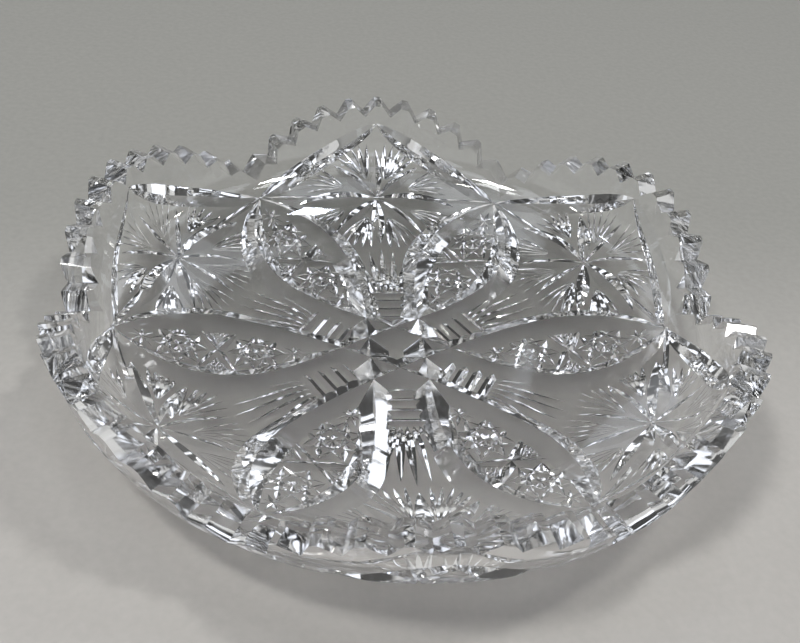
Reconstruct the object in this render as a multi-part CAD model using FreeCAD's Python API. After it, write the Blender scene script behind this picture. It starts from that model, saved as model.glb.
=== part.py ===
"""Cut-crystal bowl, 8 inch class: one piece of clear lead glass.

A shallow dish with a smooth inside. The outside is deeply cut with a six-fold pattern: six
ribbon-outlined petals with star cutting inside them, a large eight-ray star between each pair
of petals, an arch of two leaf-shaped cuts above every star, and a scalloped rim of V teeth.
Millimetres, +Z up, origin at the centre of the resting face, petal tips on 0, 60, 120 ... degrees.
"""
import FreeCAD, Part
import math
import os

V = FreeCAD.Vector

# ---- body of revolution -------------------------------------------------------------------
WALL = 8.5              # glass thickness over the floor and the turn
BASE_FLAT_R = 40.0      # flat resting disc
FLOOR_ARC_R = 104.5     # outside radius of the shallow dished floor
FLOOR_END_DEG = 26.0    # slope of the outside where the floor meets the turn of the wall
TURN_ARC_R = 22.5       # outside radius of the turn from floor to wall
WALL_DEG = 75.3         # slope of the straight flaring wall, outside
INNER_WALL_DEG = 71.5   # slope of the wall inside, so that it thickens towards the rim
BLANK_HEIGHT = 43.0     # height of the uncut blank, above every rim tooth

# ---- scalloped, toothed rim ---------------------------------------------------------------
RIM_PEAK_Z = 40.1       # tooth crests at the middle of a lobe
RIM_DIP_Z = 20.3        # tooth crests in the dip between two lobes
TEETH_PER_LOBE = 11
TOOTH_DEPTH = 4.3       # V notches between the teeth, measured at the outer edge
TOOTH_TILT_DEG = 6.0    # the notches get shallower inwards
TOOTH_HALF_DEG = 45.0
DIP_NOTCH_DEPTH = 1.0   # the notch in the dip between two lobes

# ---- cut pattern --------------------------------------------------------------------------
MITRE_HALF_DEG = 50.0   # half angle of the cutting wheel for most cuts
BROAD_HALF_DEG = 57.0   # blunter wheel for the star's tangential rays
SHARP_HALF_DEG = 45.0   # sharper wheel for the ribbons and the fine lines
STAR_R = 79.8           # distance of the big star centres from the axis
TIP_R = 85.5            # distance of the petal tips from the axis
STAR_REACH = 22.5       # length of the star's radial and diagonal rays
STAR_WIDTH = 4.8
STAR_SIDE_REACH = 29.0  # length of its two tangential rays
STAR_SIDE_WIDTH = 7.4
FAN_SPREAD_DEG = 22.0   # fine cuts between two rays fan out this far to each side
FAN_CUTS = 5
FAN_GAP = 1.0           # they start this far from the point they spread from
FAN_WIDTH = 1.7
ARCH_TOP_Z = 31.0       # height where the two arch leaves meet over the star
ARCH_DEPTH = 3.5
RIBBON_OFFSET = 8.25    # distance of every ribbon's centre line from the axis
RIBBON_STRAIGHT = 13.5  # it runs straight this far from its middle, then curves to a tip
RIBBON_DEPTHS = (       # distance along the ribbon from its middle, depth there
    (0.0, 6.0), (13.5, 5.4), (30.0, 4.5), (45.0, 5.2), (56.0, 6.0), (66.0, 5.0), (71.5, 2.8), (74.1, 0.3),
)
CROSS_R = 54.5          # middle of the crossed bands in each petal
CROSS_DEG = 58.0
CROSS_REACH = 13.0
CROSS_WIDTH = 3.4
HOBSTAR_RADII = (42.5, 66.2)
HOBSTAR_SIZE = 9.2      # centre to point
HOBSTAR_WIDTH = 2.8
SMALL_STAR_RADII = (31.0, 77.0)
SMALL_STAR_REACH = 4.6
LADDER_RADII = (13.2, 17.0, 21.1, 25.3, 29.6)
LADDER_DEPTH = 1.25
FLUTE_START_R = 31.2
FLUTE_DEPTH = 1.15
FLUTE_ENDS = ((0.0, 56.0), (4.2, 54.0), (8.0, 48.0))    # sideways offset and radius of a flute's tip
CLEAR = 0.6             # how far a cutter stands proud of the surface


def rad(degrees):
    return math.radians(degrees)


FLOOR_END_R = BASE_FLAT_R + FLOOR_ARC_R * math.sin(rad(FLOOR_END_DEG))
FLOOR_END_Z = FLOOR_ARC_R * (1 - math.cos(rad(FLOOR_END_DEG)))
TURN_CENTRE_R = FLOOR_END_R - TURN_ARC_R * math.sin(rad(FLOOR_END_DEG))
TURN_CENTRE_Z = FLOOR_END_Z + TURN_ARC_R * math.cos(rad(FLOOR_END_DEG))
TURN_END_R = TURN_CENTRE_R + TURN_ARC_R * math.sin(rad(WALL_DEG))
TURN_END_Z = TURN_CENTRE_Z - TURN_ARC_R * math.cos(rad(WALL_DEG))


def outside(r):
    """Height and slope angle of the outside surface at distance r from the axis."""
    if r <= BASE_FLAT_R:
        return 0.0, 0.0
    if r <= FLOOR_END_R:
        slope = math.asin((r - BASE_FLAT_R) / FLOOR_ARC_R)
        return FLOOR_ARC_R * (1 - math.cos(slope)), slope
    if r <= TURN_END_R:
        slope = math.asin((r - TURN_CENTRE_R) / TURN_ARC_R)
        return TURN_CENTRE_Z - TURN_ARC_R * math.cos(slope), slope
    return TURN_END_Z + (r - TURN_END_R) * math.tan(rad(WALL_DEG)), rad(WALL_DEG)


def radius_at(height):
    """Distance of the outside surface from the axis at a given height."""
    low, high = BASE_FLAT_R, 110.0
    for _ in range(60):
        middle = (low + high) / 2
        if outside(middle)[0] < height:
            low = middle
        else:
            high = middle
    return low


def on_surface(x, y):
    """Point and outward normal of the outside surface above the plan position (x, y)."""
    r = math.hypot(x, y)
    height, slope = outside(r)
    if r < 1e-9:
        return V(x, y, 0), V(0, 0, -1)
    lean = math.sin(slope) / r
    return V(x, y, height), V(x * lean, y * lean, -math.cos(slope))


def profile_offset(offset, wall_deg):
    """Edges of the outside profile moved inwards by offset, from the axis to the blank's top."""
    floor_r = FLOOR_ARC_R - offset
    turn_r = TURN_ARC_R - offset

    def on_floor(degrees):
        return V(BASE_FLAT_R + floor_r * math.sin(rad(degrees)), 0,
                 FLOOR_ARC_R - floor_r * math.cos(rad(degrees)))

    def on_turn(degrees):
        return V(TURN_CENTRE_R + turn_r * math.sin(rad(degrees)), 0,
                 TURN_CENTRE_Z - turn_r * math.cos(rad(degrees)))

    wall_start = on_turn(wall_deg)
    rise = BLANK_HEIGHT - wall_start.z
    wall_end = V(wall_start.x + rise / math.tan(rad(wall_deg)), 0, BLANK_HEIGHT)
    return [
        Part.makeLine(V(0, 0, offset), on_floor(0)),
        Part.Arc(on_floor(0), on_floor(FLOOR_END_DEG / 2), on_floor(FLOOR_END_DEG)).toShape(),
        Part.Arc(on_turn(FLOOR_END_DEG), on_turn((FLOOR_END_DEG + wall_deg) / 2), wall_start).toShape(),
        Part.makeLine(wall_start, wall_end),
    ]


def blank_sector(degrees):
    """The uncut blank between the planes at 0 and the given angle."""
    outer = profile_offset(0.0, WALL_DEG)
    inner = profile_offset(WALL, INNER_WALL_DEG)
    top = Part.makeLine(outer[-1].Vertexes[-1].Point, inner[-1].Vertexes[-1].Point)
    axis = Part.makeLine(V(0, 0, 0), V(0, 0, WALL))
    face = Part.Face(Part.Wire(Part.__sortEdges__(outer + inner + [top, axis])))
    return face.revolve(V(0, 0, 0), V(0, 0, 1), degrees)


def groove(points, depths, half_deg):
    """V-shaped cutter: its edge runs under the given surface points at the given depths."""
    tall = max(depths) + CLEAR
    half_width = tall * math.tan(rad(half_deg))
    feet = [on_surface(x, y) for x, y in points]
    sections = []
    for i, (foot, normal) in enumerate(feet):
        before = feet[max(i - 1, 0)][0]
        after = feet[min(i + 1, len(feet) - 1)][0]
        side = normal.cross(after - before).normalize()
        edge = foot - normal * depths[i]
        top = edge + normal * tall
        corners = [edge, top + side * half_width, top - side * half_width]
        sections.append(Part.makePolygon(corners + [edge]))
    return Part.makeLoft(sections, True, False)


def spread(start, end, stations):
    """Stations from just before the start to just past the end, with how full a leaf cut is at each."""
    result = []
    for i in range(stations):
        t = -0.04 + 1.08 * i / (stations - 1)
        here = (start[0] + (end[0] - start[0]) * t, start[1] + (end[1] - start[1]) * t)
        result.append((here, 4 * t * (1 - t)))
    return result


def leaf(start, end, width, half_deg=MITRE_HALF_DEG):
    """Leaf-shaped cut between two plan points: pointed at both ends, full width at the middle."""
    depth = width / 2 / math.tan(rad(half_deg))
    stations = spread(start, end, 5)
    return groove([point for point, _ in stations], [depth * full for _, full in stations], half_deg)


def turned(point, degrees):
    c = math.cos(rad(degrees))
    s = math.sin(rad(degrees))
    return (point[0] * c - point[1] * s, point[0] * s + point[1] * c)


def bezier(p0, p1, p2, p3, t):
    u = 1 - t
    return tuple(u ** 3 * a + 3 * u * u * t * b + 3 * u * t * t * c + t ** 3 * d
                 for a, b, c, d in zip(p0, p1, p2, p3))


def ribbon_depth(along):
    """Depth of a ribbon's edge at a distance along it from its middle."""
    for (near, near_depth), (far, far_depth) in zip(RIBBON_DEPTHS, RIBBON_DEPTHS[1:]):
        if along <= far:
            return near_depth + (far_depth - near_depth) * (along - near) / (far - near)
    return RIBBON_DEPTHS[-1][1]


def ribbon():
    """Wide V band: straight past the axis, curling out to a petal tip at each end."""
    tip = turned((TIP_R, 0), 60)
    bends = ((RIBBON_OFFSET, RIBBON_STRAIGHT), (RIBBON_OFFSET, 43.2), (12.7, 66.0), tip)
    half = [(RIBBON_OFFSET, 0.0)] + [bezier(*bends, i / 12) for i in range(13)]
    points = [(x, -y) for x, y in reversed(half[1:])] + half
    return groove(points, [ribbon_depth(abs(y)) for _, y in points], SHARP_HALF_DEG)


def star_arc():
    """Fine line from petal tip to petal tip through the star centre."""
    tip_x, tip_y = turned((TIP_R, 0), 30)
    points = []
    for i in range(9):
        t = -1 + i / 4
        points.append((STAR_R - (STAR_R - tip_x) * t * t, tip_y * t))
    return groove(points, [0.9] * 9, SHARP_HALF_DEG)


def from_star(across, outward):
    """Plan position reached from the star centre by going along the surface, star on +X."""
    r = STAR_R
    step = outward / 40
    for _ in range(40):
        r += step * math.cos(outside(r)[1])
    return turned((r, 0), math.degrees(across / r))


def star_leaf(degrees, near, far, width, half_deg):
    """Leaf cut drawn on the surface round the star; 0 degrees points away from the bowl's axis.

    near is the plan offset of its start from the star centre, far its length.
    """
    depth = width / 2 / math.tan(rad(half_deg))
    end = (near[0] + far * math.sin(rad(degrees)), near[1] + far * math.cos(rad(degrees)))
    stations = spread(near, end, 7)
    points = [from_star(*point) for point, _ in stations]
    return groove(points, [depth * full for _, full in stations], half_deg)


def star_rays():
    """Eight leaf rays of the star centred on the +X axis; the tangential pair is the broadest."""
    rays = []
    for k in range(8):
        if k in (2, 6):
            rays.append(star_leaf(45 * k, (0, 0), STAR_SIDE_REACH, STAR_SIDE_WIDTH, BROAD_HALF_DEG))
        else:
            rays.append(star_leaf(45 * k, (0, 0), STAR_REACH, STAR_WIDTH, MITRE_HALF_DEG))
    return rays


def star_fans():
    """Between each two rays, fine cuts that spread from one point on the bisector."""
    cuts = []
    for k in range(8):
        middle = 22.5 + 45 * k
        beside_long_ray = k in (1, 2, 5, 6)
        start = 12.0 if beside_long_ray else 8.5
        length = 14.5 if beside_long_ray else 16.0
        for i in range(FAN_CUTS):
            heading = middle + FAN_SPREAD_DEG * (2 * i / (FAN_CUTS - 1) - 1)
            near = (start * math.sin(rad(middle)) + FAN_GAP * math.sin(rad(heading)),
                    start * math.cos(rad(middle)) + FAN_GAP * math.cos(rad(heading)))
            cuts.append(star_leaf(heading, near, length, FAN_WIDTH, SHARP_HALF_DEG))
    return cuts


def arch_leaf(side):
    """Leaf cut on the wall, from a petal tip up to the middle of the lobe."""
    start_z = outside(TIP_R)[0]
    points = []
    depths = []
    for i in range(9):
        t = i / 8
        height = start_z + (ARCH_TOP_Z - start_z) * t ** 1.7
        points.append(turned((radius_at(height), 0), side * 30 * (1 - t)))
        depths.append(ARCH_DEPTH * (4 * t * (1 - t)) ** 0.7 + 0.15)
    return groove(points, depths, MITRE_HALF_DEG)


def ladder():
    """Straight bars of even width over the ridge between two ribbons, on the +X axis."""
    bars = []
    for r in LADDER_RADII:
        half = 3.1 + 0.098 * r
        bars.append(groove([(r, -half), (r, 0), (r, half)], [LADDER_DEPTH] * 3, MITRE_HALF_DEG))
    return bars


def flute(offset, reach):
    """Long pointed flute beyond the ladder, widest near it; offset is where it ends to the side."""
    points = []
    depths = []
    for i in range(9):
        t = -0.02 + 1.04 * i / 8
        inside = 0 < t < 1
        points.append((FLUTE_START_R + (reach - FLUTE_START_R) * t, offset * (0.45 + 0.55 * t)))
        depths.append(FLUTE_DEPTH * math.sin(math.pi * t ** 0.6) if inside else -0.08)
    return groove(points, depths, MITRE_HALF_DEG)


def flutes():
    """The fan of flutes: one on the axis and a mirrored pair for each sideways offset."""
    cuts = []
    for offset, reach in FLUTE_ENDS:
        for side in ((1,) if offset == 0 else (-1, 1)):
            cuts.append(flute(side * offset, reach))
    return cuts


def petal_field():
    """Cutting inside the petal on the +X axis: crossed bands, two eight-point hobstars, two small stars."""
    cuts = []
    dx = CROSS_REACH * math.cos(rad(CROSS_DEG))
    dy = CROSS_REACH * math.sin(rad(CROSS_DEG))
    for side in (-1, 1):
        cuts.append(leaf((CROSS_R - dx, -dy * side), (CROSS_R + dx, dy * side), CROSS_WIDTH))
    for r in HOBSTAR_RADII:
        corners = [(r + HOBSTAR_SIZE * math.cos(rad(45 * k)), HOBSTAR_SIZE * math.sin(rad(45 * k)))
                   for k in range(8)]
        for k in range(8):
            cuts.append(leaf(corners[k], corners[(k + 3) % 8], HOBSTAR_WIDTH, SHARP_HALF_DEG))
    for r in SMALL_STAR_RADII:
        for k in range(4):
            dx = SMALL_STAR_REACH * math.cos(rad(45 * k))
            dy = SMALL_STAR_REACH * math.sin(rad(45 * k))
            cuts.append(leaf((r - dx, -dy), (r + dx, dy), 1.5, SHARP_HALF_DEG))
    return cuts


def rim_height(degrees):
    """Height of the tooth crests at an angle measured from the middle of a lobe."""
    return RIM_PEAK_Z - (RIM_PEAK_Z - RIM_DIP_Z) * (degrees / 30) ** 2


def rim_point(degrees):
    """Outer edge of the uncut scalloped rim, for the lobe on the +X axis."""
    height = rim_height(degrees)
    x, y = turned((radius_at(height), 0), degrees)
    return V(x, y, height)


def rim_trim():
    """Everything above the scalloped rim line of the lobe on the +X axis."""
    sections = []
    for i in range(9):
        degrees = -31 + 62 * i / 8
        low = rim_height(degrees)
        corners = [(60, low), (118, low), (118, BLANK_HEIGHT + 5), (60, BLANK_HEIGHT + 5), (60, low)]
        turn = rad(degrees)
        sections.append(Part.makePolygon([V(r * math.cos(turn), r * math.sin(turn), z) for r, z in corners]))
    return Part.makeLoft(sections, True, False)


def tooth_angles():
    """Angles of the notches of one lobe, evenly spaced along its crest; the first is in the dip."""
    steps = 600
    angles = [-30 + 60 * i / steps for i in range(steps + 1)]
    lengths = [0.0]
    for before, after in zip(angles, angles[1:]):
        lengths.append(lengths[-1] + (rim_point(after) - rim_point(before)).Length)
    result = []
    for k in range(TEETH_PER_LOBE):
        target = lengths[-1] * k / TEETH_PER_LOBE
        result.append(next(a for a, length in zip(angles, lengths) if length >= target))
    return result


def tooth_notches():
    """V notches across the rim of the lobe on the +X axis."""
    notches = []
    for k, degrees in enumerate(tooth_angles()):
        out = V(math.cos(rad(degrees)), math.sin(rad(degrees)), 0)
        if k == 0:
            depth = DIP_NOTCH_DEPTH
            along = V(-out.y, out.x, 0)
        else:
            depth = TOOTH_DEPTH
            along = (rim_point(degrees + 0.5) - rim_point(degrees - 0.5)).normalize()
        up = out.cross(along).normalize()
        axis = out - up * math.tan(rad(TOOTH_TILT_DEG))
        tall = depth + 6
        half = tall * math.tan(rad(TOOTH_HALF_DEG))
        edge = rim_point(degrees) - up * depth - axis * 22
        corners = [edge, edge + up * tall + along * half, edge + up * tall - along * half, edge]
        notches.append(Part.Face(Part.makePolygon(corners)).extrude(axis * 30))
    return notches


def placed(shapes, degrees):
    result = []
    for shape in shapes:
        copy = shape.copy()
        copy.rotate(V(0, 0, 0), V(0, 0, 1), degrees)
        result.append(copy)
    return result


def cut_half_sector():
    """One twelfth of the bowl, from a petal axis (0 degrees) to a lobe middle (30 degrees)."""
    solid = blank_sector(30)
    groups = [placed([rim_trim()], 30), placed(tooth_notches(), 30)]
    for k in range(6):
        groups.append(placed([ribbon()], 60 * k))
    groups.append(placed([star_arc()], 30))
    groups.append(placed([arch_leaf(-1)], 30))
    single = placed(star_rays() + star_fans() + ladder() + flutes(), 30) + petal_field()
    groups += [[cut] for cut in single]
    bounds = solid.BoundBox
    for group in groups:
        near = [shape for shape in group if shape.BoundBox.intersect(bounds)]
        if near:
            solid = solid.cut(near)
    return solid


def whole_bowl(twelfth):
    """Mirror and turn the twelfth round the axis and sew its outer faces into one solid."""
    faces = []
    for face in twelfth.Faces:
        angles = [math.degrees(math.atan2(v.Y, v.X)) for v in face.Vertexes if math.hypot(v.X, v.Y) > 0.01]
        on_seam = max(abs(a) for a in angles) < 0.001 or max(abs(a - 30) for a in angles) < 0.001
        if not (on_seam and face.Surface.TypeId == "Part::GeomPlane"):
            faces.append(face)
    half = Part.Compound(faces)
    pair = [half, half.mirror(V(0, 0, 0), V(0, 1, 0))]
    everything = []
    for k in range(6):
        for piece in placed(pair, 60 * k):
            everything += piece.Faces
    shell = Part.Shell(everything)
    shell.sewShape()
    return Part.Solid(shell)


os.makedirs("parts", exist_ok=True)
whole_bowl(cut_half_sector()).exportStep("parts/bowl.step")
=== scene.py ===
"""Cut-crystal bowl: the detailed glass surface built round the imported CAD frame, with light and camera.

The bowl is a turned blank with a smooth inside. V-shaped grooves are carved out of its outside, as a
cutting wheel would: ribbons round six petals, hobstars, large stars, fans, leaves and the rim's teeth.
Shapes are worked out in millimetres and scaled to metres when a mesh is made. +X runs through a petal tip.
"""

import math

import bpy
import numpy as np
from mathutils import Matrix, Vector


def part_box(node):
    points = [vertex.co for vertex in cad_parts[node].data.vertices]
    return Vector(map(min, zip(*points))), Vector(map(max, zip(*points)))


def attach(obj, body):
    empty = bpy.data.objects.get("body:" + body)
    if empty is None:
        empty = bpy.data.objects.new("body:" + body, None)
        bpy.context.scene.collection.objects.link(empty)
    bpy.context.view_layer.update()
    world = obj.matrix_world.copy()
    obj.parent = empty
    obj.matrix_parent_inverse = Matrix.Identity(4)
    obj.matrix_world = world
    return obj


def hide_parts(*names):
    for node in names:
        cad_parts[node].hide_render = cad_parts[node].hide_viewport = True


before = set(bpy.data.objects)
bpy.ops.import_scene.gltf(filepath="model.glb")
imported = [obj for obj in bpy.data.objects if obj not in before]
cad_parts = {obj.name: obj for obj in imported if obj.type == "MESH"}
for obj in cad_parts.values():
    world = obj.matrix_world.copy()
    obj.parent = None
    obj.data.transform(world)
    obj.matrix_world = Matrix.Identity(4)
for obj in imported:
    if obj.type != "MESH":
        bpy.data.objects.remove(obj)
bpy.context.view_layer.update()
_, cad_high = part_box("bowl")

MM = 0.001

# ---- blank, as in the CAD part ----
RIM_R = cad_high.y / MM         # outside radius at the middle of a lobe
RIM_PEAK_Z = cad_high.z / MM    # tooth crests at the middle of a lobe
WALL = RIM_R * 0.0837
BASE_FLAT_R = RIM_R * 0.3937
FLOOR_ARC_R = RIM_R * 1.0285
FLOOR_END = math.radians(26.0)
TURN_ARC_R = RIM_R * 0.2215
WALL_SLOPE = math.radians(75.3)
INNER_SLOPE = math.radians(71.5)    # the wall thickens towards the rim
RIM_DIP_Z = RIM_PEAK_Z * 0.506
TEETH_PER_LOBE = 11
TOOTH_DEPTH = 4.3               # notch depth at the rim's outer edge
TOOTH_TILT = math.radians(6.0)  # the notches get shallower inwards
TOOTH_HALF = math.radians(45.0)
DIP_NOTCH_DEPTH = 1.0           # the notch in the dip between two lobes is shallow
NOTCH_ENDS = (-22.0, 8.0)       # a notch's cutter runs from inside to outside of the crest's outer edge
NOTCH_CLEAR = 6.0               # and stands this far above the crest

# ---- cut pattern ----
BROAD_HALF = math.radians(57.0)     # blunter wheel for the star's tangential rays
MITRE_HALF = math.radians(50.0)     # half angle of the cutting wheel for most cuts
SHARP_HALF = math.radians(45.0)     # sharper wheel for the ribbons and the fine lines
STAR_R = 79.8                   # distance of the big star centres from the axis
TIP_R = 85.5                    # distance of the petal tips from the axis
STAR_REACH = 22.5               # length of the star's radial and diagonal rays
STAR_WIDTH = 4.8
STAR_SIDE_REACH = 29.0          # length of its two tangential rays
STAR_SIDE_WIDTH = 7.4
STAR_ARC_DEPTH = 0.9
FAN_SPREAD = 22.0               # fine cuts between two rays fan out this far to each side, in degrees
FAN_CUTS = 5
FAN_GAP = 1.0                   # they start this far from the point they spread from
FAN_WIDTH = 1.7
FAN_START, FAN_LENGTH = 8.5, 16.0               # from the star centre to that point; length of a cut
SIDE_FAN_START, SIDE_FAN_LENGTH = 12.0, 14.5    # the same beside the tangential rays
ARCH_TOP_Z = 31.0               # height where the two arch leaves meet over the star
ARCH_DEPTH = 3.5
RIBBON_OFFSET = 8.25            # distance of every ribbon's centre line from the axis
RIBBON_STRAIGHT = 13.5          # it runs straight this far from its middle, then curves to a tip
RIBBON_BEND = ((RIBBON_OFFSET, 43.2), (12.7, 66.0))     # handles of that curve
# distance from the ribbon's middle, measured in the direction of its straight part, and depth there
RIBBON_DEPTHS = ((0.0, 6.0), (13.5, 5.4), (30.0, 4.5), (45.0, 5.2), (56.0, 6.0), (66.0, 5.0),
                 (71.5, 2.8), (74.1, 0.3))
CROSS_R = 54.5                  # middle of the crossed bands in each petal
CROSS_DEG = 58.0
CROSS_REACH = 13.0
CROSS_WIDTH = 3.4
HOBSTAR_RADII = (42.5, 66.2)
HOBSTAR_SIZE = 9.2              # centre to point
HOBSTAR_WIDTH = 2.8
HOBSTAR_LINE_REACH = 4.4
SMALL_STAR_RADII = (31.0, 77.0)
SMALL_STAR_REACH = 4.6
FINE_WIDTH = 1.5                # lines of the small stars and of the hobstars' middles
LADDER_RADII = (13.2, 17.0, 21.1, 25.3, 29.6)
LADDER_HALF = 3.1               # half length that a bar would have at the axis
LADDER_FLARE = 0.098            # the bars get this much longer, at each end, per millimetre outwards
LADDER_DEPTH = 1.25
FLUTE_START_R = 31.2
FLUTE_DEPTH = 1.15
FLUTE_BUNCH = 0.45              # the flutes start closer together than they end
FLUTE_ENDS = ((0.0, 56.0), (4.2, 54.0), (-4.2, 54.0), (8.0, 48.0), (-8.0, 48.0))
HATCH_LINES = 7
HATCH_PITCH = 1.4
HATCH_START = 2.0               # the first line's distance from the crossing, along a band
HATCH_EDGE = 11.6               # the lines stop this far from the petal's centre line
HATCH_SHORTEST = 2.2
PROUD = 0.6                     # how far a cutter stands out of the glass
PROUD_FINE = 0.2
PROUD_HATCH = 0.1
OVERRUN = 0.04                  # a leaf-shaped cutter leaves the glass just past each end
COLUMNS = 240                   # mesh columns round the blank

# ---- light: place, size and power in metres and watts ----
SOFT_BOXES = (
    ((-0.50, -0.30, 1.20), (0.22, 0.16), 6.5),
    ((0.60, -0.05, 1.25), (0.18, 0.14), 4.5),
)
SPARKLES = (
    (-0.75, 0.45, 1.15), (-0.15, 0.15, 1.40), (0.35, -0.75, 1.10), (0.95, 0.35, 0.90),
    (0.25, 0.60, 1.20), (-0.95, -0.10, 0.80),
)
SPARKLE_SIZE = (0.06, 0.06)
SPARKLE_POWER = 0.5
SPARKLE_COLOURS = ((0.80, 0.85, 1.0), (1.0, 0.97, 0.92))
WALL_LIGHT = 0.68               # plain walls up to about 20 degrees above the horizon
CEILING_LIGHT = 0.05            # dark ceiling
PANE_LIGHT = 1.50               # pale panes scattered over the ceiling

# ---- floor and camera, in metres ----
FLOOR_HALF = 20.0
FLOOR_Z = -0.0003
CAMERA_PLACE = (-0.03898, -0.22616, 0.19803)
CAMERA_FORWARD = (0.1304, 0.7742, -0.6194)
CAMERA_UP = (-0.0041, 0.6252, 0.7805)
CAMERA_LENS = 44.23
CAMERA_SHIFT = 0.0039

FLOOR_END_R = BASE_FLAT_R + FLOOR_ARC_R * math.sin(FLOOR_END)
FLOOR_END_Z = FLOOR_ARC_R * (1 - math.cos(FLOOR_END))
TURN_CENTRE_R = FLOOR_END_R - TURN_ARC_R * math.sin(FLOOR_END)
TURN_CENTRE_Z = FLOOR_END_Z + TURN_ARC_R * math.cos(FLOOR_END)

OUTSIDE, INSIDE, CREST, RIBBON, CUT, TOOTH = range(6)
SOFTNESS = (0.0, 0.0, 0.06, 0.03, 0.0, 0.06)    # roughness of each kind's polish


def profile(length, offset=0.0):
    """Radius, height and slope at a distance along the profile from the edge of the flat base."""
    floor_r = FLOOR_ARC_R - offset
    turn_r = TURN_ARC_R - offset
    floor_length = floor_r * FLOOR_END
    turn_length = turn_r * ((INNER_SLOPE if offset else WALL_SLOPE) - FLOOR_END)
    if length <= floor_length:
        slope = length / floor_r
        return (BASE_FLAT_R + floor_r * math.sin(slope), FLOOR_ARC_R - floor_r * math.cos(slope), slope)
    slope = FLOOR_END + min(length - floor_length, turn_length) / turn_r
    beyond = max(length - floor_length - turn_length, 0.0)
    return (TURN_CENTRE_R + turn_r * math.sin(slope) + beyond * math.cos(slope),
            TURN_CENTRE_Z - turn_r * math.cos(slope) + beyond * math.sin(slope), slope)


def length_where(value, index, offset=0.0):
    """Distance along the profile where its radius (index 0) or height (index 1) has the given value."""
    low, high = 0.0, 120.0
    for _ in range(50):
        middle = (low + high) / 2
        if profile(middle, offset)[index] < value:
            low = middle
        else:
            high = middle
    return low


def on_surface(x, y):
    """Point and outward normal of the outside surface under the plan position (x, y)."""
    r = math.hypot(x, y)
    if r <= BASE_FLAT_R:
        return np.array((x, y, 0.0)), np.array((0.0, 0.0, -1.0))
    _, height, slope = profile(length_where(r, 0))
    lean = math.sin(slope) / r
    return np.array((x, y, height)), np.array((x * lean, y * lean, -math.cos(slope)))


def rim_height(degrees):
    """Height of the tooth crests at an angle measured from the middle of a lobe."""
    return RIM_PEAK_Z - (RIM_PEAK_Z - RIM_DIP_Z) * (degrees / 30) ** 2


def blank_mesh():
    """Turned blank with its top already scalloped: rings of vertices from base to rim and back inside."""
    floor_rows = 16
    wall_rows = 16
    rings = []
    kinds = []
    angles = np.arange(COLUMNS) * 2 * math.pi / COLUMNS
    from_lobe = np.degrees(angles) % 60 - 30
    for offset, kind in ((0.0, OUTSIDE), (WALL, INSIDE)):
        side = []
        floor_length = (FLOOR_ARC_R - offset) * FLOOR_END
        tops = [length_where(rim_height(a), 1, offset) for a in from_lobe]
        for i in range(floor_rows + 1):
            r, z, _ = profile(floor_length * i / floor_rows, offset)
            side.append(np.stack([r * np.cos(angles), r * np.sin(angles), np.full(COLUMNS, z)], 1))
        for i in range(1, wall_rows + 1):
            ring = []
            for angle, top in zip(angles, tops):
                r, z, _ = profile(floor_length + (top - floor_length) * i / wall_rows, offset)
                ring.append((r * math.cos(angle), r * math.sin(angle), z))
            side.append(np.array(ring))
        if kind == INSIDE:
            side.reverse()
        rings += side
        kinds += [kind] * (len(side) - 1) + [CREST]
    faces = []
    face_kinds = []
    for ring in range(len(rings) - 1):
        for j in range(COLUMNS):
            k = (j + 1) % COLUMNS
            a = ring * COLUMNS
            b = a + COLUMNS
            faces.append((a + j, a + k, b + k, b + j))
            face_kinds.append(kinds[ring])
    last = (len(rings) - 1) * COLUMNS
    faces.append(tuple(reversed(range(COLUMNS))))
    face_kinds.append(OUTSIDE)
    faces.append(tuple(range(last, last + COLUMNS)))
    face_kinds.append(INSIDE)
    return np.concatenate(rings), faces, face_kinds


def groove(points, depths, half_angle, proud=PROUD):
    """V-shaped cutter whose edge runs under the given plan points at the given depths in the glass."""
    tall = max(depths) + proud
    half_width = tall * math.tan(half_angle)
    feet = [on_surface(x, y) for x, y in points]
    verts = []
    for i, (foot, normal) in enumerate(feet):
        before = feet[max(i - 1, 0)][0]
        after = feet[min(i + 1, len(feet) - 1)][0]
        side = np.cross(normal, after - before)
        side /= np.linalg.norm(side)
        edge = foot - normal * depths[i]
        top = edge + normal * tall
        verts += [edge, top + side * half_width, top - side * half_width]
    faces = []
    for i in range(len(points) - 1):
        a = 3 * i
        for p, q in ((0, 1), (1, 2), (2, 0)):
            faces.append((a + p, a + q, a + 3 + q, a + 3 + p))
    last = 3 * (len(points) - 1)
    faces += [(2, 1, 0), (last, last + 1, last + 2)]
    return np.array(verts), faces


def leaf(start, end, width, half_angle=MITRE_HALF, stations=9, proud=PROUD):
    """Leaf-shaped cut between two plan points: pointed at both ends, full width at the middle."""
    depth = width / 2 / math.tan(half_angle)
    points = []
    depths = []
    for i in range(stations):
        t = -OVERRUN + (1 + 2 * OVERRUN) * i / (stations - 1)
        points.append((start[0] + (end[0] - start[0]) * t, start[1] + (end[1] - start[1]) * t))
        depths.append(depth * 4 * t * (1 - t))
    return groove(points, depths, half_angle, proud)


def turned(point, degrees):
    """Plan position turned about the axis."""
    c = math.cos(math.radians(degrees))
    s = math.sin(math.radians(degrees))
    return (point[0] * c - point[1] * s, point[0] * s + point[1] * c)


def bezier(p0, p1, p2, p3, t):
    """Point of a cubic curve from p0 to p3, with p1 and p2 as handles."""
    u = 1 - t
    return tuple(u ** 3 * a + 3 * u * u * t * b + 3 * u * t * t * c + t ** 3 * d
                 for a, b, c, d in zip(p0, p1, p2, p3))


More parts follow.
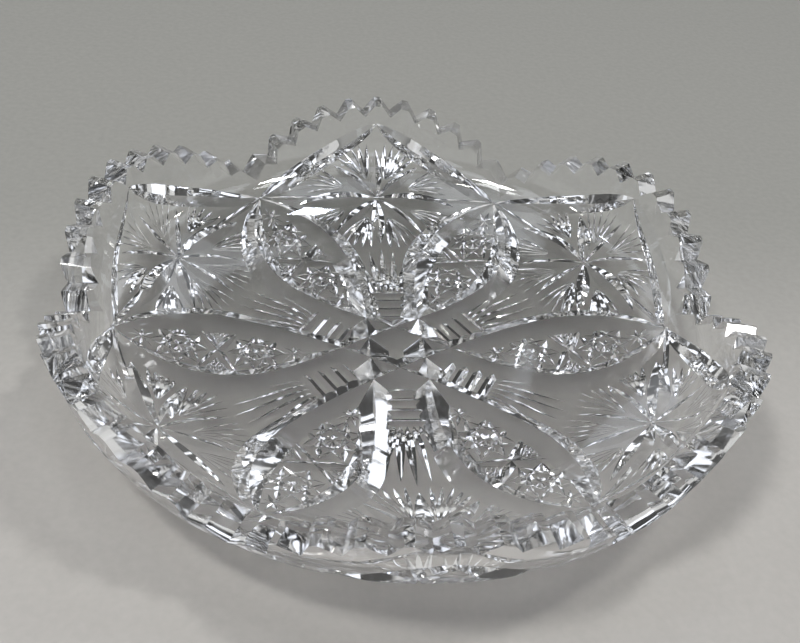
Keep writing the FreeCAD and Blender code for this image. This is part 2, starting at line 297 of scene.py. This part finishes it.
def ribbon():
    """Wide V band: straight past the axis, curling out to a petal tip at each end."""
    tip = turned((TIP_R, 0), 60)
    half = [(RIBBON_OFFSET, 0.0)]
    steps = 30
    for i in range(steps + 1):
        half.append(bezier((RIBBON_OFFSET, RIBBON_STRAIGHT), *RIBBON_BEND, tip, i / steps))
    points = [(x, -y) for x, y in reversed(half[1:])] + half
    knots, knot_depths = zip(*RIBBON_DEPTHS)
    depths = [float(np.interp(abs(y), knots, knot_depths)) for _, y in points]
    return groove(points, depths, SHARP_HALF)


def star_arc():
    """Fine line from petal tip to petal tip through the star centre."""
    tip_x, tip_y = turned((TIP_R, 0), 30)
    steps = 24
    points = []
    for i in range(steps + 1):
        t = -1 + 2 * i / steps
        points.append((STAR_R - (STAR_R - tip_x) * t * t, tip_y * t))
    return groove(points, [STAR_ARC_DEPTH] * len(points), SHARP_HALF, PROUD_FINE)


def from_star(across, outward):
    """Plan position reached from the star centre by going along the surface, star on +X."""
    r = profile(length_where(STAR_R, 0) + outward)[0]
    return turned((r, 0), math.degrees(across / r))


def star_leaf(degrees, far, width, half_angle, origin=(0.0, 0.0), stations=13, proud=PROUD):
    """Leaf cut drawn on the surface round the star; 0 degrees points away from the bowl's axis."""
    c = math.cos(math.radians(degrees))
    s = math.sin(math.radians(degrees))
    depth = width / 2 / math.tan(half_angle)
    points = []
    depths = []
    for i in range(stations):
        t = -OVERRUN + (1 + 2 * OVERRUN) * i / (stations - 1)
        points.append(from_star(origin[0] + far * t * s, origin[1] + far * t * c))
        depths.append(depth * 4 * t * (1 - t))
    return groove(points, depths, half_angle, proud)


def star_ray(k):
    """Ray k of eight, counted round from the one that points away from the axis."""
    if k in (2, 6):
        return star_leaf(45 * k, STAR_SIDE_REACH, STAR_SIDE_WIDTH, BROAD_HALF)
    return star_leaf(45 * k, STAR_REACH, STAR_WIDTH, MITRE_HALF)


def star_fan_cut(k, i):
    """Cut i of the fan between rays k and k + 1; each fan spreads from one point on the bisector."""
    middle = 22.5 + 45 * k
    start, length = (SIDE_FAN_START, SIDE_FAN_LENGTH) if k in (1, 2, 5, 6) else (FAN_START, FAN_LENGTH)
    heading = middle + FAN_SPREAD * (2 * i / (FAN_CUTS - 1) - 1)
    origin = (start * math.sin(math.radians(middle)) + FAN_GAP * math.sin(math.radians(heading)),
              start * math.cos(math.radians(middle)) + FAN_GAP * math.cos(math.radians(heading)))
    return star_leaf(heading, length, FAN_WIDTH, SHARP_HALF, origin, 7, PROUD_FINE)


def arch_leaf(side):
    """Leaf cut on the wall, from a petal tip up to the middle of the lobe."""
    steps = 16
    start_z = on_surface(TIP_R, 0)[0][2]
    points = []
    depths = []
    for i in range(steps + 1):
        t = i / steps
        height = start_z + (ARCH_TOP_Z - start_z) * t ** 1.7
        r = profile(length_where(height, 1))[0]
        points.append(turned((r, 0), side * 30 * (1 - t)))
        depths.append(ARCH_DEPTH * (4 * t * (1 - t)) ** 0.7 + 0.15)
    return groove(points, depths, MITRE_HALF)


def ladder_bar(r):
    """Straight V bar from ribbon to ribbon, of even width."""
    half = LADDER_HALF + LADDER_FLARE * r
    points = [(r, half * i / 2) for i in range(-2, 3)]
    return groove(points, [LADDER_DEPTH] * len(points), MITRE_HALF)


def flute(offset, reach):
    """Long pointed flute beyond the ladder, widest near it; offset is where it ends to the side."""
    points = []
    depths = []
    for i in range(13):
        t = -0.02 + 1.04 * i / 12
        across = offset * (FLUTE_BUNCH + (1 - FLUTE_BUNCH) * t)
        points.append((FLUTE_START_R + (reach - FLUTE_START_R) * t, across))
        depths.append(FLUTE_DEPTH * math.sin(math.pi * t ** 0.6) if 0 < t < 1 else -0.08)
    return groove(points, depths, MITRE_HALF)


def cross_band(side):
    """One of the two bands that cross in the middle of a petal."""
    dx = CROSS_REACH * math.cos(math.radians(CROSS_DEG))
    dy = CROSS_REACH * math.sin(math.radians(CROSS_DEG))
    return leaf((CROSS_R - dx, -dy * side), (CROSS_R + dx, dy * side), CROSS_WIDTH)


def hobstar_chord(r, k):
    """One of eight cuts joining every third point of an octagon of points."""
    a = math.radians(45 * k)
    b = math.radians(45 * (k + 3))
    return leaf((r + HOBSTAR_SIZE * math.cos(a), HOBSTAR_SIZE * math.sin(a)),
                (r + HOBSTAR_SIZE * math.cos(b), HOBSTAR_SIZE * math.sin(b)), HOBSTAR_WIDTH, SHARP_HALF, 7)


def hobstar_line(r, k):
    """Diameter of the hobstar's raised middle."""
    dx = HOBSTAR_LINE_REACH * math.cos(math.radians(22.5 + 45 * k))
    dy = HOBSTAR_LINE_REACH * math.sin(math.radians(22.5 + 45 * k))
    return leaf((r - dx, -dy), (r + dx, dy), FINE_WIDTH, SHARP_HALF, 5, PROUD_FINE)


def small_star_line(r, k):
    """One of the four lines that cross in a small star."""
    dx = SMALL_STAR_REACH * math.cos(math.radians(45 * k))
    dy = SMALL_STAR_REACH * math.sin(math.radians(45 * k))
    return leaf((r - dx, -dy), (r + dx, dy), FINE_WIDTH, SHARP_HALF, 5, PROUD_FINE)


def hatch_lines(side, slant, parity):
    """Every second fine line of the crosshatching beside the crossed bands, on one side of a petal."""
    c = math.cos(math.radians(CROSS_DEG))
    s = math.sin(math.radians(CROSS_DEG))
    cuts = []
    for j in range(parity, HATCH_LINES, 2):
        near = HATCH_START + HATCH_PITCH * j
        far = HATCH_EDGE / s - near
        if far < HATCH_SHORTEST:
            continue
        start = (CROSS_R + slant * c * (1.0 - near), side * s * (1.0 + near))
        end = (CROSS_R + slant * c * (far - near), side * s * (far + near))
        cuts.append(leaf(start, end, HATCH_PITCH, SHARP_HALF, 3, PROUD_HATCH))
    return cuts


def tooth_notches(group):
    """V notches across the rim of the lobe on the +X axis, evenly spaced along its crest.

    Group 0 is the notch in the dip before the lobe; groups 1 and 2 are every second one of the rest.
    """
    steps = 600
    degrees = np.linspace(-30, 30, steps + 1)
    crest = []
    for d in degrees:
        height = rim_height(d)
        r = profile(length_where(height, 1))[0]
        crest.append((r * math.cos(math.radians(d)), r * math.sin(math.radians(d)), height))
    crest = np.array(crest)
    lengths = np.concatenate([[0], np.cumsum(np.linalg.norm(np.diff(crest, axis=0), axis=1))])
    notches = []
    for k in range(group, TEETH_PER_LOBE, 2) if group else (0,):
        i = int(np.searchsorted(lengths, lengths[-1] * k / TEETH_PER_LOBE))
        if k == 0:
            along = np.array((math.sin(math.radians(30)), math.cos(math.radians(30)), 0.0))
        else:
            along = crest[i + 5] - crest[i - 5]
        along /= np.linalg.norm(along)
        turn = math.radians(degrees[i])
        out = np.array((math.cos(turn), math.sin(turn), 0.0))
        up = np.cross(out, along)
        up /= np.linalg.norm(up)
        if up[2] < 0:
            up = -up
        depth = TOOTH_DEPTH if k else DIP_NOTCH_DEPTH
        tall = depth + NOTCH_CLEAR
        half = tall * math.tan(TOOTH_HALF)
        verts = []
        for reach in NOTCH_ENDS:
            edge = crest[i] - up * (depth + reach * math.tan(TOOTH_TILT)) + out * reach
            verts += [edge, edge + up * tall + along * half, edge + up * tall - along * half]
        faces = [(0, 1, 4, 3), (1, 2, 5, 4), (2, 0, 3, 5), (2, 1, 0), (3, 4, 5)]
        notches.append((np.array(verts), faces))
    return notches


def round_the_axis(cutters, first=0.0, count=6):
    """Copies of the cutters turned by sixths of a circle, starting at an angle in degrees."""
    copies = []
    for k in range(count):
        turn = math.radians(first + 60 * k)
        c = math.cos(turn)
        s = math.sin(turn)
        matrix = np.array(((c, -s, 0), (s, c, 0), (0, 0, 1)))
        copies += [(verts @ matrix.T, faces) for verts, faces in cutters]
    return copies


def mesh_object(name, shells, kinds):
    """Object made of shells in millimetres; while it is carved, a face's material index is its kind."""
    verts = np.concatenate([shell[0] for shell in shells]) * MM
    faces = []
    start = 0
    for shell_verts, shell_faces in shells:
        faces += [tuple(start + i for i in face) for face in shell_faces]
        start += len(shell_verts)
    mesh = bpy.data.meshes.new(name)
    mesh.from_pydata(verts.tolist(), [], faces)
    mesh.update()
    if mesh.validate():
        print("mesh was not valid:", name)
    for _ in range(TOOTH + 1):
        mesh.materials.append(None)
    mesh.polygons.foreach_set("material_index", kinds)
    obj = bpy.data.objects.new(name, mesh)
    bpy.context.scene.collection.objects.link(obj)
    return obj


def carve(body, cutters, kind):
    """Takes the cutters, which don't overlap one another, out of the body; the new faces get the kind."""
    tool = mesh_object("tool", cutters, [kind] * sum(len(faces) for _, faces in cutters))
    modifier = body.modifiers.new("cut", "BOOLEAN")
    modifier.operation = "DIFFERENCE"
    modifier.solver = "MANIFOLD"
    modifier.object = tool
    graph = bpy.context.evaluated_depsgraph_get()
    carved = bpy.data.meshes.new_from_object(body.evaluated_get(graph))
    body.modifiers.clear()
    old = body.data
    body.data = carved
    bpy.data.meshes.remove(old)
    used = tool.data
    bpy.data.objects.remove(tool)
    bpy.data.meshes.remove(used)


def pattern_cuts():
    """Every group of cutters between the ribbons and the rim; cutters in one group don't overlap."""
    for parity in (0, 1):
        yield [cut for k in range(parity, 6, 2) for cut in round_the_axis([star_arc()], 30 + 60 * k, 1)]
    for k in range(8):
        yield round_the_axis([star_ray(k)], 30)
    for i in range(FAN_CUTS):
        yield round_the_axis([star_fan_cut(k, i) for k in range(8)], 30)
    for side in (-1, 1):
        yield round_the_axis([arch_leaf(side)], 30)
    for parity in (0, 1):
        yield round_the_axis([ladder_bar(r) for r in LADDER_RADII[parity::2]], 30)
    for offset, reach in FLUTE_ENDS:
        yield round_the_axis([flute(offset, reach)], 30)
    for side in (-1, 1):
        yield round_the_axis([cross_band(side)])
    for k in range(8):
        yield round_the_axis([hobstar_chord(r, k) for r in HOBSTAR_RADII])
    for k in range(4):
        yield round_the_axis([hobstar_line(r, k) for r in HOBSTAR_RADII])
        yield round_the_axis([small_star_line(r, k) for r in SMALL_STAR_RADII])
    for slant in (-1, 1):
        for parity in (0, 1):
            yield round_the_axis([cut for side in (-1, 1) for cut in hatch_lines(side, slant, parity)])


def polished_normals(mesh):
    """Exact normals on the turned surfaces; cut facets stay crisp where they meet at an angle."""
    mesh.set_sharp_from_angle(angle=math.radians(15))
    count = len(mesh.loops)
    normals = np.zeros(count * 3)
    mesh.corner_normals.foreach_get("vector", normals)
    normals = normals.reshape(-1, 3)
    corner_vertex = np.zeros(count, int)
    mesh.loops.foreach_get("vertex_index", corner_vertex)
    kinds = np.zeros(len(mesh.polygons), int)
    mesh.polygons.foreach_get("material_index", kinds)
    sizes = np.zeros(len(mesh.polygons), int)
    mesh.polygons.foreach_get("loop_total", sizes)
    corner_kind = np.repeat(kinds, sizes)
    spots = np.zeros(len(mesh.vertices) * 3)
    mesh.vertices.foreach_get("co", spots)
    spots = spots.reshape(-1, 3)[corner_vertex] / MM
    radius = np.hypot(spots[:, 0], spots[:, 1])
    height = spots[:, 2]
    floor_slope = np.arctan2(np.maximum(radius - BASE_FLAT_R, 0), FLOOR_ARC_R - height)
    turn_slope = np.arctan2(radius - TURN_CENTRE_R, TURN_CENTRE_Z - height)
    wall_slope = np.where(corner_kind == INSIDE, INNER_SLOPE, WALL_SLOPE)
    slope = np.where(floor_slope < FLOOR_END, floor_slope, np.clip(turn_slope, FLOOR_END, wall_slope))
    slope = np.where(height > TURN_CENTRE_Z, wall_slope, slope)
    across = np.sin(slope) / np.maximum(radius, 1e-6)
    outward = np.stack([spots[:, 0] * across, spots[:, 1] * across, -np.cos(slope)], 1)
    normals[corner_kind == OUTSIDE] = outward[corner_kind == OUTSIDE]
    normals[corner_kind == INSIDE] = -outward[corner_kind == INSIDE]
    mesh.normals_split_custom_set(normals.tolist())


def crystal_material():
    """Clear lead crystal: bright polish on the turned surfaces, and faint wheel marks in the cuts.

    The ribbons and the teeth have a softer polish. The cut faces have a slightly darker glass colour,
    which is painted shade.
    """
    material = bpy.data.materials.new("lead_crystal")
    material.use_nodes = True
    nodes = material.node_tree.nodes
    links = material.node_tree.links
    shader = nodes["Principled BSDF"]
    shader.inputs["Transmission Weight"].default_value = 1.0
    shader.inputs["IOR"].default_value = 1.545

    is_cut = nodes.new("ShaderNodeAttribute")
    is_cut.attribute_name = "cut"
    place = nodes.new("ShaderNodeTexCoord")

    # Painted shade: faces marked as cut get the darker colour B, the turned surfaces the clear colour A.
    glass_with_painted_cut_shade = nodes.new("ShaderNodeMix")
    glass_with_painted_cut_shade.data_type = "RGBA"
    glass_with_painted_cut_shade.inputs["A"].default_value = (0.985, 0.988, 0.99, 1)
    glass_with_painted_cut_shade.inputs["B"].default_value = (0.91, 0.913, 0.925, 1)
    links.new(is_cut.outputs["Fac"], glass_with_painted_cut_shade.inputs["Factor"])
    links.new(glass_with_painted_cut_shade.outputs["Result"], shader.inputs["Base Color"])

    marks = nodes.new("ShaderNodeTexNoise")
    marks.inputs["Scale"].default_value = 900.0
    marks.inputs["Detail"].default_value = 3.0
    links.new(place.outputs["Object"], marks.inputs["Vector"])
    haze = nodes.new("ShaderNodeMath")
    haze.operation = "MULTIPLY"
    links.new(marks.outputs["Fac"], haze.inputs[0])
    links.new(is_cut.outputs["Fac"], haze.inputs[1])
    rough = nodes.new("ShaderNodeMapRange")
    rough.inputs["From Min"].default_value = 0.3
    rough.inputs["From Max"].default_value = 0.7
    rough.inputs["To Min"].default_value = 0.0
    rough.inputs["To Max"].default_value = 0.05
    links.new(haze.outputs["Value"], rough.inputs["Value"])
    soft = nodes.new("ShaderNodeAttribute")
    soft.attribute_name = "soft"
    polish = nodes.new("ShaderNodeMath")
    polish.operation = "ADD"
    links.new(soft.outputs["Fac"], polish.inputs[0])
    links.new(rough.outputs["Result"], polish.inputs[1])
    links.new(polish.outputs["Value"], shader.inputs["Roughness"])

    ripple = nodes.new("ShaderNodeTexNoise")
    ripple.inputs["Scale"].default_value = 160.0
    ripple.inputs["Detail"].default_value = 1.0
    links.new(place.outputs["Object"], ripple.inputs["Vector"])
    bump = nodes.new("ShaderNodeBump")
    bump.inputs["Strength"].default_value = 0.25
    bump.inputs["Distance"].default_value = 0.00008
    links.new(ripple.outputs["Fac"], bump.inputs["Height"])
    links.new(bump.outputs["Normal"], shader.inputs["Normal"])
    return material


def make_bowl():
    """Blank with everything carved out of it; the faces' kinds end up as attributes for the shader."""
    verts, faces, kinds = blank_mesh()
    bowl = mesh_object("crystal_bowl", [(verts, faces)], kinds)
    for k in range(6):
        carve(bowl, round_the_axis([ribbon()], 60 * k, 1), RIBBON)
    for cutters in pattern_cuts():
        carve(bowl, cutters, CUT)
    for group in (0, 1, 2):
        carve(bowl, round_the_axis(tooth_notches(group), 30), TOOTH)
    polished_normals(bowl.data)
    kinds = np.zeros(len(bowl.data.polygons), int)
    bowl.data.polygons.foreach_get("material_index", kinds)
    for name, values in (("cut", (kinds >= RIBBON).astype(float)), ("soft", np.array(SOFTNESS)[kinds])):
        marker = bowl.data.attributes.new(name, "FLOAT", "FACE")
        marker.data.foreach_set("value", values)
    bowl.data.polygons.foreach_set("material_index", np.zeros(len(kinds), int))
    bowl.data.materials.clear()
    bowl.data.materials.append(crystal_material())
    bowl.data.update()
    return bowl


def paper_material():
    """Pale matt paper with a faint fibre mottle, and painted shade that makes it darker towards the back.
    """
    material = bpy.data.materials.new("floor_paper")
    material.use_nodes = True
    nodes = material.node_tree.nodes
    links = material.node_tree.links
    shader = nodes["Principled BSDF"]
    shader.inputs["Roughness"].default_value = 0.8

    place = nodes.new("ShaderNodeTexCoord")
    axes = nodes.new("ShaderNodeSeparateXYZ")
    links.new(place.outputs["Object"], axes.inputs["Vector"])
    # Painted shade: from -0.06 m to 0.10 m along Y the paper's colour goes from the pale front colour to
    # the darker back one.
    depth = nodes.new("ShaderNodeMapRange")
    depth.interpolation_type = "SMOOTHSTEP"
    depth.inputs["From Min"].default_value = -0.06
    depth.inputs["From Max"].default_value = 0.10
    links.new(axes.outputs["Y"], depth.inputs["Value"])

    fibre = nodes.new("ShaderNodeTexNoise")
    fibre.inputs["Scale"].default_value = 420.0
    fibre.inputs["Detail"].default_value = 4.0
    links.new(place.outputs["Object"], fibre.inputs["Vector"])
    spread = nodes.new("ShaderNodeMapRange")
    spread.inputs["To Min"].default_value = -0.22
    spread.inputs["To Max"].default_value = 0.22
    links.new(fibre.outputs["Fac"], spread.inputs["Value"])
    both = nodes.new("ShaderNodeMath")
    both.operation = "ADD"
    links.new(depth.outputs["Result"], both.inputs[0])
    links.new(spread.outputs["Result"], both.inputs[1])

    mottle_and_painted_back_shade = nodes.new("ShaderNodeMix")
    mottle_and_painted_back_shade.data_type = "RGBA"
    mottle_and_painted_back_shade.clamp_factor = False
    # A is the paper in front, B the darker paper behind as painted shade; the fibre mottle varies the tone
    # at random.
    mottle_and_painted_back_shade.inputs["A"].default_value = (0.435, 0.415, 0.385, 1)
    mottle_and_painted_back_shade.inputs["B"].default_value = (0.285, 0.280, 0.255, 1)
    links.new(both.outputs["Value"], mottle_and_painted_back_shade.inputs["Factor"])
    links.new(mottle_and_painted_back_shade.outputs["Result"], shader.inputs["Base Color"])
    return material


def make_stage():
    """Pale level floor, just under the bowl."""
    mesh = bpy.data.meshes.new("floor")
    corners = [(x * FLOOR_HALF, y * FLOOR_HALF, FLOOR_Z) for x, y in ((-1, -1), (1, -1), (1, 1), (-1, 1))]
    mesh.from_pydata(corners, [], [(0, 1, 2, 3)])
    mesh.materials.append(paper_material())
    floor = bpy.data.objects.new("floor", mesh)
    bpy.context.scene.collection.objects.link(floor)


def area_light(name, place, size, power, colour=(1, 1, 1)):
    """Rectangular lamp that points at the bowl."""
    data = bpy.data.lights.new(name, "AREA")
    data.shape = "RECTANGLE"
    data.size, data.size_y = size
    data.energy = power
    data.color = colour
    lamp = bpy.data.objects.new(name, data)
    lamp.location = place
    lamp.rotation_euler = (-Vector(place)).to_track_quat("-Z", "Y").to_euler()
    bpy.context.scene.collection.objects.link(lamp)


def make_lights():
    """Plain walls, a dark ceiling with pale panes, and small bright lights, which the facets pick up."""
    world = bpy.data.worlds.new("studio")
    bpy.context.scene.world = world
    world.use_nodes = True
    nodes = world.node_tree.nodes
    links = world.node_tree.links

    place = nodes.new("ShaderNodeTexCoord")
    axes = nodes.new("ShaderNodeSeparateXYZ")
    links.new(place.outputs["Generated"], axes.inputs["Vector"])
    overhead = nodes.new("ShaderNodeMapRange")
    overhead.interpolation_type = "SMOOTHSTEP"
    overhead.inputs["From Min"].default_value = 0.34
    overhead.inputs["From Max"].default_value = 0.46
    links.new(axes.outputs["Z"], overhead.inputs["Value"])
    walls = nodes.new("ShaderNodeMapRange")
    walls.inputs["To Min"].default_value = WALL_LIGHT
    walls.inputs["To Max"].default_value = CEILING_LIGHT
    links.new(overhead.outputs["Result"], walls.inputs["Value"])

    spots = nodes.new("ShaderNodeTexNoise")
    spots.inputs["Scale"].default_value = 3.6
    spots.inputs["Detail"].default_value = 1.5
    links.new(place.outputs["Generated"], spots.inputs["Vector"])
    panes = nodes.new("ShaderNodeMapRange")
    panes.interpolation_type = "SMOOTHSTEP"
    panes.inputs["From Min"].default_value = 0.54
    panes.inputs["From Max"].default_value = 0.58
    links.new(spots.outputs["Fac"], panes.inputs["Value"])
    ceiling = nodes.new("ShaderNodeMath")
    ceiling.operation = "MULTIPLY"
    links.new(panes.outputs["Result"], ceiling.inputs[0])
    links.new(overhead.outputs["Result"], ceiling.inputs[1])
    strength = nodes.new("ShaderNodeMath")
    strength.operation = "MULTIPLY_ADD"
    strength.inputs[1].default_value = PANE_LIGHT
    links.new(ceiling.outputs["Value"], strength.inputs[0])
    links.new(walls.outputs["Result"], strength.inputs[2])
    links.new(strength.outputs["Value"], nodes["Background"].inputs["Strength"])

    colour = nodes.new("ShaderNodeMix")
    colour.data_type = "RGBA"
    colour.inputs["A"].default_value = (1.0, 1.0, 0.98, 1)
    colour.inputs["B"].default_value = (0.88, 0.92, 1.0, 1)
    links.new(ceiling.outputs["Value"], colour.inputs["Factor"])
    links.new(colour.outputs["Result"], nodes["Background"].inputs["Color"])

    for k, (spot, size, power) in enumerate(SOFT_BOXES):
        area_light(f"soft_box_{k}", spot, size, power)
    for k, spot in enumerate(SPARKLES):
        area_light(f"sparkle_{k}", spot, SPARKLE_SIZE, SPARKLE_POWER, SPARKLE_COLOURS[k % 2])


def make_camera():
    """Camera about 41 degrees above the table, 300 mm from the bowl."""
    data = bpy.data.cameras.new("camera")
    data.sensor_width = 36.0
    data.lens = CAMERA_LENS
    data.shift_x = CAMERA_SHIFT
    camera = bpy.data.objects.new("camera", data)
    bpy.context.scene.collection.objects.link(camera)
    forward = Vector(CAMERA_FORWARD).normalized()
    right = forward.cross(Vector(CAMERA_UP)).normalized()
    up = right.cross(forward)
    turn = Matrix((right, up, -forward)).transposed()
    camera.matrix_world = Matrix.Translation(CAMERA_PLACE) @ turn.to_4x4()
    bpy.context.scene.camera = camera


bowl = make_bowl()
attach(bowl, "root")
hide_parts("bowl")
make_stage()
make_lights()
make_camera()

cycles = bpy.context.scene.cycles
cycles.max_bounces = 24
cycles.transmission_bounces = 24
cycles.glossy_bounces = 8
cycles.use_denoising = True
bpy.context.scene.view_settings.view_transform = "Standard"
